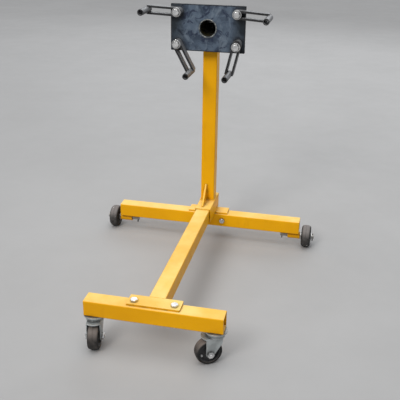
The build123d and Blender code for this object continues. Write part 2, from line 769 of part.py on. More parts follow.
for name, (x, z) in arm_bolt_points.items():
    angle, distance = arm_settings[name]
    turn = radians(angle)
    arm_plane = Plane(
        origin=(x, head_y, pivot_z + z), x_dir=(cos(turn), 0, sin(turn)), z_dir=(0, -1, 0)
    )
    near = distance - slot_reach

    with BuildPart() as arm_strap:
        with BuildSketch(arm_plane):
            with BuildLine():
                Line((distance, strap_half_width), (near, strap_half_width))
                RadiusArc((near, strap_half_width), (near, -strap_half_width), -strap_half_width)
                Line((near, -strap_half_width), (distance, -strap_half_width))
                Line((distance, -strap_half_width), (distance, -slot_half_width))
                Line((distance, -slot_half_width), (near, -slot_half_width))
                RadiusArc((near, -slot_half_width), (near, slot_half_width), slot_half_width)
                Line((near, slot_half_width), (distance, slot_half_width))
                Line((distance, slot_half_width), (distance, strap_half_width))
            make_face()
            with Locations((distance, 0)):
                Circle(arm_tube_radius, mode=Mode.SUBTRACT)
        extrude(amount=strap_depth)
    arm_strap.part.label = f"arm_strap_{name}"
    export_step(arm_strap.part, f"parts/arm_strap_{name}.step")

    with BuildPart() as arm_tube:
        with BuildSketch(arm_plane):
            with Locations((distance, 0)):
                Circle(arm_tube_radius)
                Circle(arm_tube_bore, mode=Mode.SUBTRACT)
        extrude(amount=arm_tube_front)
    arm_tube.part.label = f"arm_tube_{name}"
    export_step(arm_tube.part, f"parts/arm_tube_{name}.step")

    bolt_seat = arm_plane.offset(strap_depth + arm_washer_thickness)
    with BuildPart() as arm_bolt_piece:
        with Locations(bolt_seat):
            add(arm_bolt)
    arm_bolt_piece.part.label = f"arm_bolt_{name}"
    export_step(arm_bolt_piece.part, f"parts/arm_bolt_{name}.step")

    with BuildPart() as arm_fasteners:
        with Locations(arm_plane.offset(strap_depth)):
            add(arm_washer)
        with Locations(arm_plane.offset(-head_thickness - rear_washer_thickness)):
            add(arm_rear_washer)
        with Locations(arm_plane.offset(-head_thickness - rear_washer_thickness - m12_nut)):
            add(arm_nut)
    arm_fasteners.part.label = f"arm_fasteners_{name}"
    export_step(arm_fasteners.part, f"parts/arm_fasteners_{name}.step")
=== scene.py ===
"""Engine stand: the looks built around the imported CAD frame. Metres, Z up, -Y to the front."""

import json
import math
import random

import bmesh
import bpy
from mathutils import Matrix, Vector, noise


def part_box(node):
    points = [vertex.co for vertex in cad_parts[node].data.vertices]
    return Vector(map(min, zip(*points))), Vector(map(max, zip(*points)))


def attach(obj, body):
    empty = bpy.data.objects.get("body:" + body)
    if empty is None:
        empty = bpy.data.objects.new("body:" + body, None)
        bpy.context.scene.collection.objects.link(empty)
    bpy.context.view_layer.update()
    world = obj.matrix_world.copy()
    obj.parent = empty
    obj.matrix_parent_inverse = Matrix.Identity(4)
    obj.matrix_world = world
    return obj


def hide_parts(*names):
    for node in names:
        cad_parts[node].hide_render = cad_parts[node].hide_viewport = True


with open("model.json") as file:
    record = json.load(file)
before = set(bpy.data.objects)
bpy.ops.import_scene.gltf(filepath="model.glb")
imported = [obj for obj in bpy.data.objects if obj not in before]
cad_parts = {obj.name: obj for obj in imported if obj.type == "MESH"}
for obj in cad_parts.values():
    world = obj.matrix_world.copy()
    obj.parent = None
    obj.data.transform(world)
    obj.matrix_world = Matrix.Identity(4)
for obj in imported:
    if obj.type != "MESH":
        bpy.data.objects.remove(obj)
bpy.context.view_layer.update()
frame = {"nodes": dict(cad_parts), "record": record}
scene = bpy.context.scene
nodes = frame["nodes"]

# Sizes that the frame's boxes don't give, in metres.
SLEEVE_LENGTH = 0.046
PIVOT_WALL = 0.004
REAR_HALF_WIDTH = 0.017
CASTER_HALF_WIDTH = 0.016
M10_RADIUS, M10_ACROSS_FLATS = 0.005, 0.017
M12_RADIUS, M12_ACROSS_FLATS = 0.006, 0.019
THREAD_PITCH = 0.00175
THREAD_STOP = 0.0011  # how far a thread stops short of its bolt's end
BEAD_STEP = 0.0009  # between two rings of a weld bead
BEAD_PITCH = 0.0036  # between two ripples of a weld bead
BEAD_SIDES = 8
BEAD_LIFT = 0.0004  # a fillet bead's centre line off the corner it fills

X, Y, Z = Vector((1, 0, 0)), Vector((0, 1, 0)), Vector((0, 0, 1))


# ---------------------------------------------------------------- camera
def make_camera():
    """The main view: from the front, a little to the right and above."""
    yaw, pitch, roll = math.radians(11.99), math.radians(-23.9), math.radians(0.89)
    forward = Vector(
        (-math.sin(yaw) * math.cos(pitch), math.cos(yaw) * math.cos(pitch), math.sin(pitch))
    )
    level = forward.cross(Vector((0, 0, 1))).normalized()
    upright = level.cross(forward)
    right = level * math.cos(roll) + upright * math.sin(roll)
    up = upright * math.cos(roll) - level * math.sin(roll)
    data = bpy.data.cameras.new("camera")
    data.sensor_width = 36
    data.lens = 58.64
    camera = bpy.data.objects.new("camera", data)
    scene.collection.objects.link(camera)
    place = Vector((0.44263, -1.8763, 1.16598))
    rows = [(right[k], up[k], -forward[k], place[k]) for k in range(3)]
    camera.matrix_world = Matrix([*rows, (0, 0, 0, 1)])
    scene.camera = camera


make_camera()
scene.view_settings.view_transform = "Standard"


# ---------------------------------------------------------------- material graphs
class Graph:
    """A material whose nodes are made by short calls. Colours are linear."""

    def __init__(self, name, **sockets):
        self.material = bpy.data.materials.new(name)
        self.material.use_nodes = True
        self.tree = self.material.node_tree
        self.shader = self.tree.nodes["Principled BSDF"]
        self.set(self.shader, sockets)

    def set(self, node, values):
        for key, value in values.items():
            socket = node.inputs[key] if isinstance(key, int) else self.socket(node, key)
            if isinstance(value, bpy.types.NodeSocket):
                self.tree.links.new(value, socket)
            else:
                is_colour = isinstance(value, tuple) and socket.type == "RGBA"
                socket.default_value = (*value, 1) if is_colour else value

    def socket(self, node, key):
        wanted = key.replace("_", " ").lower()
        return next(s for s in node.inputs if s.name.lower() == wanted and s.enabled)

    def node(self, kind, settings=(), **inputs):
        node = self.tree.nodes.new("ShaderNode" + kind)
        for key, value in dict(settings).items():
            setattr(node, key, value)
        self.set(node, inputs)
        return node

    def place(self):
        """The point on the surface in the row frame at rest."""
        return self.node("TexCoord").outputs["Object"]

    def facing(self, direction):
        """How far the surface at rest faces along a direction, from -1 to 1."""
        normal = self.node("TexCoord").outputs["Normal"]
        dot = self.node("VectorMath", {"operation": "DOT_PRODUCT"})
        self.tree.links.new(normal, dot.inputs[0])
        dot.inputs[1].default_value = direction
        return dot.outputs["Value"]

    def stretched(self, scale):
        """The surface point scaled along each axis, for streaks."""
        mapping = self.node("Mapping", Vector=self.place())
        mapping.inputs["Scale"].default_value = scale
        return mapping.outputs["Vector"]

    def noise(self, scale, detail=3.0, rough=0.5, warp=0.0, vector=None):
        made = self.node(
            "TexNoise",
            Vector=vector or self.place(),
            Scale=scale,
            Detail=detail,
            Roughness=rough,
            Distortion=warp,
        )
        return made.outputs["Fac"]

    def cells(self, scale):
        """The distance to the nearest of many scattered points."""
        return self.node("TexVoronoi", Vector=self.place(), Scale=scale).outputs["Distance"]

    def between(self, value, low, high, to_low=0.0, to_high=1.0):
        """The value's smooth way from low to high, given as one from to_low to to_high."""
        made = self.node(
            "MapRange",
            {"interpolation_type": "SMOOTHSTEP"},
            Value=value,
            From_Min=low,
            From_Max=high,
            To_Min=to_low,
            To_Max=to_high,
        )
        return made.outputs["Result"]

    def maths(self, operation, first, second=0.0):
        made = self.node("Math", {"operation": operation})
        self.set(made, {0: first, 1: second})
        return made.outputs["Value"]

    def mix(self, share, first, second):
        made = self.node("Mix", {"data_type": "RGBA"})
        self.set(made, {0: share})
        for index, value in ((6, first), (7, second)):
            if isinstance(value, bpy.types.NodeSocket):
                self.tree.links.new(value, made.inputs[index])
            else:
                made.inputs[index].default_value = (*value, 1)
        return made.outputs[2]

    def soft_edge(self, radius, samples=6):
        """The normal as if every edge were rounded to that radius."""
        return self.node("Bevel", {"samples": samples}, Radius=radius).outputs["Normal"]

    def edge(self, radius, low=0.01, high=0.16):
        """1 along the edges of the solid and 0 on its faces."""
        dot = self.node("VectorMath", {"operation": "DOT_PRODUCT"})
        self.tree.links.new(self.soft_edge(radius), dot.inputs[0])
        self.tree.links.new(self.node("NewGeometry").outputs["Normal"], dot.inputs[1])
        away = self.maths("SUBTRACT", 1.0, dot.outputs["Value"])
        return self.between(away, low, high)

    def corner_shade(self, distance, low=0.55, high=0.95):
        """1 in occluded corners and 0 on open faces, for painting shade into the corners."""
        made = self.node("AmbientOcclusion", {"samples": 6}, Distance=distance)
        return self.between(made.outputs["AO"], low, high, 1.0, 0.0)

    def bump(self, height, strength, distance, normal=None):
        made = self.node("Bump", Height=height, Strength=strength, Distance=distance)
        if normal is not None:
            self.tree.links.new(normal, made.inputs["Normal"])
        return made.outputs["Normal"]

    def finish(self, colour, roughness, normal):
        wanted = {"Base Color": colour, "Roughness": roughness, "Normal": normal}
        for key, value in wanted.items():
            self.tree.links.new(value, self.shader.inputs[key])
        return self.material


def scaled(colour, factor):
    return tuple(c * factor for c in colour)


def yellow_paint(name, weld=False):
    """Glossy yellow paint: runs, painted shade with grubby patches in the corners, chips and a painted
    highlight on the edges, and dusty paint with a painted pale sheen on top.
    """
    g = Graph(name, Specular_IOR_Level=0.12, Coat_Weight=0.07, Coat_Roughness=0.14)
    colour = g.mix(g.between(g.noise(4.0, 4.0, 0.55), 0.3, 0.7), (0.82, 0.375, 0.0015), (0.93, 0.455, 0.0025))
    runs = g.noise(22.0, 5.0, 0.6, 0.4, g.stretched((1.0, 1.0, 0.25)))
    colour = g.mix(g.between(runs, 0.55, 0.78, 0.0, 0.35), colour, (0.66, 0.28, 0.004))
    # Painted shade: darker brown in occluded corners, in grubby patches.
    corner_dirt_and_shade = g.maths("MULTIPLY", g.corner_shade(0.016), g.between(g.noise(70.0, 4.0, 0.7), 0.35, 0.7, 0.25, 0.8))
    colour = g.mix(corner_dirt_and_shade, colour, (0.21, 0.085, 0.008))
    specks = g.between(g.cells(160.0), 0.05, 0.10, 1.0, 0.0)
    patches = g.between(g.noise(9.0, 2.0), 0.56, 0.64)
    edge_marks = g.maths("MULTIPLY", g.edge(0.0022), g.between(g.noise(120.0, 5.0, 0.75), 0.60, 0.70))
    chips = g.maths("MAXIMUM", g.maths("MULTIPLY", specks, patches), edge_marks)
    colour = g.mix(g.maths("MULTIPLY", chips, 0.75), colour, (0.13, 0.10, 0.075))
    # Dusty paint and a painted pale sheen on faces that look up.
    upward = g.between(g.facing((0, 0, 1)), 0.5, 1.0)
    dust_and_top_light = g.maths("MULTIPLY", upward, g.between(g.noise(7.0, 6.0, 0.6), 0.34, 0.68, 0.26, 0.62))
    colour = g.mix(dust_and_top_light, colour, (0.94, 0.80, 0.34))
    # Painted highlight: lighter yellow along the edges.
    painted_edge_highlight = g.maths("MULTIPLY", g.edge(0.0030, 0.02, 0.25), 0.22)
    colour = g.mix(painted_edge_highlight, colour, (0.98, 0.74, 0.20))
    gloss = g.between(g.noise(35.0, 5.0, 0.65), 0.3, 0.7, 0.28, 0.44)
    roughness = g.maths("ADD", gloss, g.maths("MULTIPLY", dust_and_top_light, 0.35))
    peel = g.maths("ADD", g.noise(420.0, 3.0, 0.5), g.maths("MULTIPLY", g.noise(60.0, 4.0, 0.5), 1.6))
    normal = g.bump(peel, 0.34 if weld else 0.11, 0.0006, g.soft_edge(0.0016))
    normal = g.bump(chips, 0.35, -0.0003, normal)
    return g.finish(colour, roughness, normal)


def border(g, axis, centre, start, end):
    """Grows from 0 to 1 with the distance from a centre line along one axis."""
    axes = g.node("SeparateXYZ", Vector=g.place())
    away = g.maths("ABSOLUTE", g.maths("SUBTRACT", axes.outputs[axis], centre))
    return g.between(away, start, end)


def mill_plate(name, plate=None, bore=None):
    """Dark blue-grey steel with the mottled scale and smears of hot rolling.

    A plate's corners give it dark sides and a dark rim. A bore's centre gives it painted shade inside, dark
    olive. Occluded corners get painted shade too.
    """
    g = Graph(name, Metallic=0.1, Specular_IOR_Level=0.35, Coat_Weight=0.08, Coat_Roughness=0.3)
    warped = g.noise(13.0, 6.0, 0.60, 1.4)
    colour = g.mix(g.between(warped, 0.38, 0.60), (0.030, 0.046, 0.074), (0.082, 0.114, 0.160))
    smear = g.noise(17.0, 6.0, 0.62, 1.0, g.stretched((1.5, 1.0, 0.8)))
    colour = g.mix(g.between(smear, 0.53, 0.68, 0.0, 0.75), colour, (0.150, 0.190, 0.240))
    navy = g.between(g.noise(24.0, 5.0, 0.6, 1.8), 0.56, 0.64)
    colour = g.mix(g.maths("MULTIPLY", navy, 0.85), colour, (0.011, 0.018, 0.045))
    scratch = g.between(g.noise(46.0, 2.0, 0.5, 0.0, g.stretched((1.0, 1.0, 9.0))), 0.70, 0.76, 0.0, 0.30)
    colour = g.mix(scratch, colour, (0.26, 0.28, 0.30))
    colour = g.mix(g.maths("MULTIPLY", g.edge(0.0018), 0.85), colour, (0.008, 0.008, 0.010))
    if plate:
        low, high = plate
        half_x, half_z = (high.x - low.x) / 2, (high.z - low.z) / 2
        middle = (high.z + low.z) / 2
        sides = border(g, 0, 0.0, half_x - 0.052, half_x - 0.022)
        rough_sides = g.maths("MULTIPLY", sides, g.between(warped, 0.35, 0.65, 0.95, 0.62))
        colour = g.mix(rough_sides, colour, (0.008, 0.013, 0.018))
        rim = g.maths(
            "MAXIMUM",
            border(g, 0, 0.0, half_x - 0.0042, half_x - 0.0022),
            border(g, 2, middle, half_z - 0.0042, half_z - 0.0022),
        )
        colour = g.mix(g.maths("MULTIPLY", rim, 0.8), colour, (0.006, 0.007, 0.010))
    # Painted shade: darker in occluded corners.
    colour = g.mix(g.maths("MULTIPLY", g.corner_shade(0.018), 0.7), colour, (0.012, 0.012, 0.014))
    if bore:
        outward = g.node("VectorMath", {"operation": "DOT_PRODUCT"})
        radial = g.node("VectorMath", {"operation": "SUBTRACT"})
        g.tree.links.new(g.place(), radial.inputs[0])
        radial.inputs[1].default_value = bore
        g.tree.links.new(radial.outputs["Vector"], outward.inputs[0])
        normal_out = g.node("TexCoord").outputs["Normal"]
        flat = g.node("VectorMath", {"operation": "MULTIPLY"})
        g.tree.links.new(normal_out, flat.inputs[0])
        flat.inputs[1].default_value = (1, 0, 1)
        g.tree.links.new(flat.outputs["Vector"], outward.inputs[1])
        # Painted shade inside the bore, dark olive.
        inside = g.between(outward.outputs["Value"], -0.020, -0.010, 1.0, 0.0)
        blotch = g.between(g.noise(60.0, 5.0, 0.6), 0.4, 0.7)
        painted_bore_shade = g.mix(blotch, (0.022, 0.020, 0.010), (0.070, 0.058, 0.022))
        colour = g.mix(inside, colour, painted_bore_shade)
    roughness = g.between(g.noise(16.0, 5.0, 0.65, 1.2), 0.3, 0.7, 0.36, 0.60)
    normal = g.bump(g.noise(90.0, 6.0, 0.65), 0.16, 0.0008, g.soft_edge(0.0012))
    return g.finish(colour, roughness, normal)


def black_paint(name):
    """Black painted arms with grey rubbed patches, grey edges that are partly wear and partly painted
    highlight, and a painted grey sheen on faces turned up and to +X.
    """
    g = Graph(name, Specular_IOR_Level=0.4, Coat_Weight=0.15, Coat_Roughness=0.3)
    blotch = g.between(g.noise(25.0, 5.0, 0.6), 0.35, 0.7)
    colour = g.mix(blotch, (0.007, 0.007, 0.008), (0.018, 0.018, 0.020))
    rubbed = g.between(g.noise(60.0, 6.0, 0.7, 0.5), 0.54, 0.76, 0.0, 0.45)
    colour = g.mix(rubbed, colour, (0.10, 0.10, 0.105))
    # Painted sheen: lighter grey on faces turned up and towards +X.
    painted_lit_side = g.between(g.facing((0.75, 0, 0.66)), 0.35, 0.95, 0.0, 0.80)
    colour = g.mix(painted_lit_side, colour, (0.235, 0.240, 0.250))
    # Grey edges: partly wear, partly painted highlight.
    edge_marks = g.maths("MULTIPLY", g.edge(0.0016), g.between(g.noise(140.0, 5.0, 0.7), 0.35, 0.6, 0.2, 1.0))
    colour = g.mix(g.maths("MULTIPLY", edge_marks, 0.7), colour, (0.30, 0.30, 0.31))
    roughness = g.between(g.noise(45.0, 5.0, 0.65), 0.3, 0.7, 0.38, 0.6)
    normal = g.bump(g.noise(240.0, 5.0, 0.6), 0.18, 0.0005, g.soft_edge(0.0014))
    return g.finish(colour, roughness, normal)


def zinc(name, tone, dull, grime_and_shade, metal=0.9):
    """Zinc plating with stains, painted shade with grubby patches in its corners, and a painted highlight on
    its edges.
    """
    g = Graph(name, Metallic=metal)
    light = tuple(min(1.0, c * 1.10) for c in tone)
    dark = scaled(tone, 0.80)
    colour = g.mix(g.between(g.noise(38.0, 4.0, 0.5), 0.35, 0.65), light, dark)
    stains = g.between(g.noise(95.0, 5.0, 0.6), 0.52, 0.80, 0.0, 0.45)
    colour = g.mix(stains, colour, scaled(tone, 0.6))
    # Painted shade: darker in occluded corners, in grubby patches.
    patches = g.between(g.noise(90.0, 5.0, 0.7), 0.3, 0.7, 0.6, 1.0)
    corner_dirt_and_shade = g.maths("MULTIPLY", g.corner_shade(0.009, 0.60, 0.98), patches)
    colour = g.mix(g.maths("MULTIPLY", corner_dirt_and_shade, grime_and_shade), colour, (0.055, 0.050, 0.045))
    # Painted highlight: near white along the edges.
    painted_edge_shine = g.maths("MULTIPLY", g.edge(0.0012, 0.02, 0.2), 0.5)
    colour = g.mix(painted_edge_shine, colour, (0.90, 0.91, 0.92))
    roughness = g.between(g.noise(75.0, 6.0, 0.7), 0.3, 0.75, 0.24 + dull, 0.44 + dull)
    normal = g.bump(g.noise(300.0, 4.0, 0.6), 0.10, 0.0004, g.soft_edge(0.0007))
    return g.finish(colour, roughness, normal)


def rubber(name, axle, dust_and_top_light, amount, glints=False):
    """Black moulded rubber: wear and dusty patches on the tread, painted light on its upper half, dark side
    faces, and painted white glints when asked.
    """
    g = Graph(name, Specular_IOR_Level=0.35)
    side = g.maths("ABSOLUTE", g.facing(axle))
    tread = g.between(side, 0.30, 0.90, 1.0, 0.0)
    blotch = g.between(g.noise(60.0, 5.0, 0.6), 0.35, 0.7)
    colour = g.mix(blotch, (0.010, 0.010, 0.010), (0.026, 0.025, 0.024))
    patches = g.between(g.noise(42.0, 7.0, 0.72, 0.6), 0.34, 0.66, 0.10, 1.0)
    around = g.noise(150.0, 4.0, 0.6, 0.0, g.stretched((0.35, 1.0, 1.0)))
    patches = g.maths("MULTIPLY", patches, g.between(around, 0.3, 0.7, 0.6, 1.0))
    dusty = g.maths("MULTIPLY", g.maths("MULTIPLY", tread, patches), amount)
    colour = g.mix(dusty, colour, dust_and_top_light)
    # Painted light: the tread's upper half lighter, as if lit from above.
    high = g.between(g.facing((0, 0, 1)), 0.05, 0.80, 0.0, 0.85)
    colour = g.mix(g.maths("MULTIPLY", high, tread), colour, scaled(dust_and_top_light, 1.7))
    film = g.between(g.noise(26.0, 6.0, 0.7), 0.52, 0.72, 0.0, 0.22)
    colour = g.mix(film, colour, scaled(dust_and_top_light, 0.6))
    # Painted glints: small white dots.
    if glints:
        drops = g.between(g.cells(85.0), 0.10, 0.17, 1.0, 0.0)
        painted_glints = g.maths("MULTIPLY", drops, g.between(g.noise(30.0, 2.0), 0.55, 0.62))
        colour = g.mix(painted_glints, colour, (0.62, 0.62, 0.60))
    roughness = g.between(g.noise(85.0, 5.0, 0.7), 0.3, 0.7, 0.55, 0.82)
    normal = g.bump(g.noise(520.0, 5.0, 0.65), 0.30, 0.0004, g.soft_edge(0.0010, 4))
    return g.finish(colour, roughness, normal)


def moulded(name, tone):
    """Dark moulded plastic, lighter along its edges."""
    g = Graph(name, Specular_IOR_Level=0.45)
    light = scaled(tone, 2.2)
    colour = g.mix(g.between(g.noise(40.0, 6.0, 0.7), 0.45, 0.8), tone, light)
    colour = g.mix(g.maths("MULTIPLY", g.edge(0.0010), 0.4), colour, scaled(tone, 5))
    roughness = g.between(g.noise(70.0, 5.0, 0.65), 0.3, 0.7, 0.38, 0.62)
    normal = g.bump(g.noise(700.0, 3.0, 0.5), 0.20, 0.0003, g.soft_edge(0.0009, 4))
    return g.finish(colour, roughness, normal)


def bare_steel(name, dark, light):
    """Unpainted steel with patches of rust."""
    g = Graph(name, Metallic=0.85)
    colour = g.mix(g.between(g.noise(40.0, 6.0, 0.7), 0.4, 0.7), dark, light)
    rust = g.between(g.noise(30.0, 7.0, 0.75, 0.6), 0.58, 0.70, 0.0, 0.6)
    colour = g.mix(rust, colour, (0.14, 0.065, 0.03))
    sheen = g.between(g.noise(120.0, 5.0, 0.7), 0.3, 0.7, 0.28, 0.48)
    roughness = g.maths("ADD", sheen, g.maths("MULTIPLY", rust, 0.3))
    normal = g.bump(g.noise(260.0, 5.0, 0.6), 0.15, 0.0004, g.soft_edge(0.0008, 4))
    return g.finish(colour, roughness, normal)


def raw_weld(name):
    """A pale ground weld bead with grey and blue heat colours."""
    g = Graph(name, Metallic=0.5)
    colour = g.mix(g.between(g.noise(120.0, 5.0, 0.6), 0.35, 0.65), (0.10, 0.115, 0.13), (0.34, 0.35, 0.34))
    colour = g.mix(g.between(g.noise(45.0, 4.0, 0.6), 0.45, 0.6, 0.0, 0.85), colour, (0.045, 0.055, 0.065))
    roughness = g.between(g.noise(150.0, 5.0, 0.7), 0.3, 0.7, 0.34, 0.6)
    return g.finish(colour, roughness, g.bump(g.noise(500.0, 4.0, 0.6), 0.35, 0.0004))


def middle_of(name):
    low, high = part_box(name)
    return (Vector(low) + Vector(high)) / 2


PIVOT = middle_of("pivot_tube")
YELLOW = yellow_paint("yellow_paint")
WELD = yellow_paint("yellow_weld", weld=True)
PLATE = mill_plate("mill_plate", plate=[Vector(corner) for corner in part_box("head_plate")])
TUBE = mill_plate("pivot_tube_steel", bore=tuple(PIVOT))
BLACK = black_paint("black_paint")
BRIGHT = zinc("bright_zinc", (0.84, 0.84, 0.84), 0.0, 0.9)
SHEET = zinc("dull_zinc", (0.47, 0.50, 0.50), 0.14, 0.8, 0.7)
AXLE_X = (1, 0, 0)
SWIVEL = {"left": math.radians(10), "right": math.radians(-60)}
AXLES = {side: (math.cos(turn), math.sin(turn), 0) for side, turn in SWIVEL.items()}
REAR_RUBBER = {
    side: rubber("rear_rubber_" + side, AXLE_X, (0.128, 0.116, 0.110), 0.62, glints=True) for side in AXLES
}
CASTER_RUBBER = {
    side: rubber("caster_rubber_" + side, AXLES[side], (0.100, 0.084, 0.074), 0.7) for side in AXLES
}
CORE = moulded("dark_core", (0.022, 0.022, 0.023))
PLASTIC = moulded("black_plastic", (0.014, 0.014, 0.015))
STEEL = bare_steel("bare_steel", (0.30, 0.29, 0.27), (0.42, 0.41, 0.39))
DARK_STEEL = bare_steel("dark_steel", (0.045, 0.038, 0.032), (0.11, 0.095, 0.08))
RAW_WELD = raw_weld("raw_weld")

# One look for each material slot of the record; the rubbers have a look for each side.
LOOKS = {
    "yellow_paint": YELLOW,
    "blue_paint": PLATE,
    "black_paint": BLACK,
    "zinc_fasteners": BRIGHT,
    "zinc_sheet": SHEET,
    "dark_core": CORE,
    "bush_steel": STEEL,
    "black_plastic": PLASTIC,
}


def dress(name, material):
    """Give a CAD node its look."""
    obj = nodes[name]
    if not obj.material_slots:
        obj.data.materials.append(material)
    for material_slot in obj.material_slots:
        material_slot.link = "OBJECT"
        material_slot.material = material


for sub in frame["record"]["subparts"]:
    name, slot = sub["node"], sub["material_slot"]
    if slot == "caster_rubber":
        dress(name, CASTER_RUBBER[name.rsplit("_", 1)[1]])
    elif slot == "rear_rubber":
        dress(name, REAR_RUBBER[name.rsplit("_", 1)[1]])
    elif name == "pivot_tube":
        dress(name, TUBE)
    elif name == "rear_split_pins":
        dress(name, DARK_STEEL)
    elif name == "rear_axles":
        dress(name, STEEL)
    else:
        dress(name, LOOKS[slot])


# ---------------------------------------------------------------- mesh helpers
def add_piece(name, bm, material, body, crisp=40):
    """Turn a bmesh into a piece that rides on a body; edges over crisp degrees stay sharp."""
    mesh = bpy.data.meshes.new(name)
    bmesh.ops.recalc_face_normals(bm, faces=bm.faces)
    bm.to_mesh(mesh)
    bm.free()
    mesh.shade_smooth()
    mesh.set_sharp_from_angle(angle=math.radians(crisp))
    mesh.materials.append(material)
    piece = bpy.data.objects.new(name, mesh)
    scene.collection.objects.link(piece)
    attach(piece, body)
    return piece


def join_rings(bm, rings, closed_along):
    """Skin closed rings of equal size, and the last to the first if closed_along."""
    count = len(rings)
    for index in range(count if closed_along else count - 1):
        first, second = rings[index], rings[(index + 1) % count]
        size = len(first)
        for k in range(size):
            bm.faces.new((first[k], first[(k + 1) % size], second[(k + 1) % size], second[k]))


def resample(points, step, closed):
    """Points at even steps along a path."""
    path = points + [points[0]] if closed else points
    made = []
    for start, end in zip(path, path[1:]):
        count = max(1, round((end - start).length / step))
        made += [start.lerp(end, k / count) for k in range(count)]
    return made if closed else made + [path[-1]]


def bead(bm, points, upright, radius, closed=False, seed=0):
    """A weld bead along a path: a lumpy rope with a ripple for every pass of the torch."""
    upright = Vector(upright)
    line = resample([Vector(p) for p in points], BEAD_STEP, closed)
    count = len(line)
    rings = []
    for index, point in enumerate(line):
        if closed:
            along = line[(index + 1) % count] - line[index - 1]
        else:
            along = line[min(index + 1, count - 1)] - line[max(index - 1, 0)]
        along.normalize()
        sideways = along.cross(upright).normalized()
        ripple = abs(math.sin(math.pi * index * BEAD_STEP / BEAD_PITCH))
        wander = noise.noise(Vector((point.x, point.y, point.z)) * 160 + Vector((seed, 0, 0)))
        size = radius * (0.86 + 0.20 * ripple + 0.22 * wander)
        if not closed:
            left = min(index, count - 1 - index) * BEAD_STEP
            size *= 0.25 + 0.75 * min(1.0, left / radius) ** 0.5
        centre = point + sideways * wander * radius * 0.15
        ring = []
        for k in range(BEAD_SIDES):
            turn = 2 * math.pi * k / BEAD_SIDES
            radial = sideways * math.cos(turn) + upright * math.sin(turn)
            ring.append(bm.verts.new(centre + radial * size))
        rings.append(ring)
    join_rings(bm, rings, closed)
    if not closed:
        bm.faces.new(rings[0])
        bm.faces.new(rings[-1])


def lathe(bm, profile, centre, axis, steps):
    """Turn a closed profile of (along, radius) points around an axis."""
    axis = Vector(axis).normalized()
    across = axis.orthogonal().normalized()
    third = axis.cross(across)
    rings = []
    for step in range(steps):
        turn = 2 * math.pi * step / steps
        out = across * math.cos(turn) + third * math.sin(turn)
        ring = [Vector(centre) + axis * along + out * radius for along, radius in profile]
        rings.append([bm.verts.new(point) for point in ring])
    join_rings(bm, rings, True)


def rounded_loop(half_x, half_y, corner, centre):
    """A level rectangle with round corners."""
    made = []
    for quarter in range(4):
        sign_x, sign_y = ((1, 1), (-1, 1), (-1, -1), (1, -1))[quarter]
        for k in range(5):
            turn = math.pi / 2 * (quarter + k / 4)
            x = sign_x * (half_x - corner) + corner * math.cos(turn)
            y = sign_y * (half_y - corner) + corner * math.sin(turn)
            made.append(centre + X * x + Y * y)
    return made


def circle(radius, centre, first, second):
    steps = 64
    made = []
    for k in range(steps):
        turn = 2 * math.pi * k / steps
        made.append(centre + (first * math.cos(turn) + second * math.sin(turn)) * radius)
    return made


def corners(name):
    low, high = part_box(name)
    return Vector(low), Vector(high)


